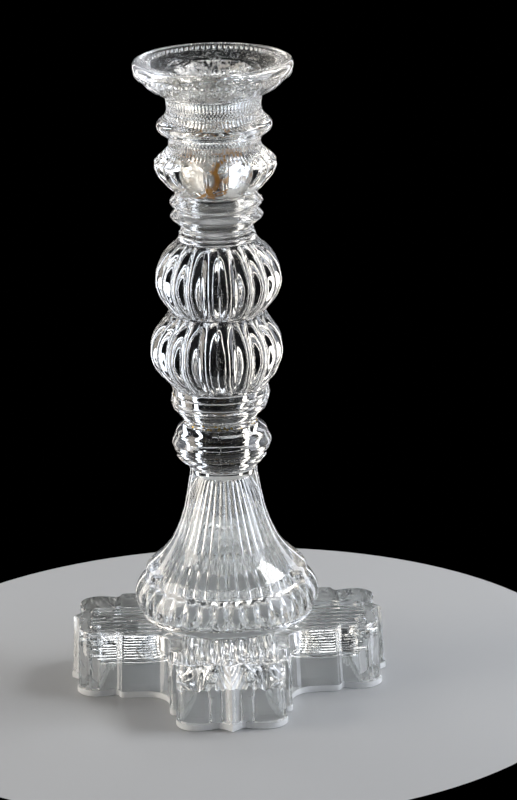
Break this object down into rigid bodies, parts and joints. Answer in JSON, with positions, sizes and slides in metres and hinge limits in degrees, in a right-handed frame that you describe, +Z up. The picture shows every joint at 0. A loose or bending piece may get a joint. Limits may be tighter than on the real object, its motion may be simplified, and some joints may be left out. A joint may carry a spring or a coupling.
{
  "type": "candlestick",
  "caption": "Tall clear pressed-glass candlestick: four-armed foot, hollow bell, two ribbed knops, fluted socket and a loose flared drip pan.",
  "frame": {"origin": "in the plane that the foot stands on, under the axis of the candle socket", "axes": "+Z up along the stick, X and Y along the arms of the foot, with the arm towards the viewer along -Y"},
  "size_m": [0.12, 0.12, 0.24],
  "materials": {
    "clear_glass": "fire-polished pressed lead glass"
  },
  "bodies": {
    "stick": {"foot": "clear_glass", "foot_disc": "clear_glass", "bell": "clear_glass", "bell_collar": "clear_glass", "stem_wafer": "clear_glass", "stem_ring": "clear_glass", "lower_knop": "clear_glass", "upper_knop": "clear_glass", "ringed_wafer": "clear_glass", "double_ring": "clear_glass", "socket_cup": "clear_glass", "socket_nozzle": "clear_glass"},
    "pan": {"drip_pan": "clear_glass"}
  },
  "joints": [
    {"name": "pan_lift", "type": "slide", "parent": "stick", "child": "pan", "axis": [0, 0, 1], "range_m": [0, 0.04]}
  ]
}
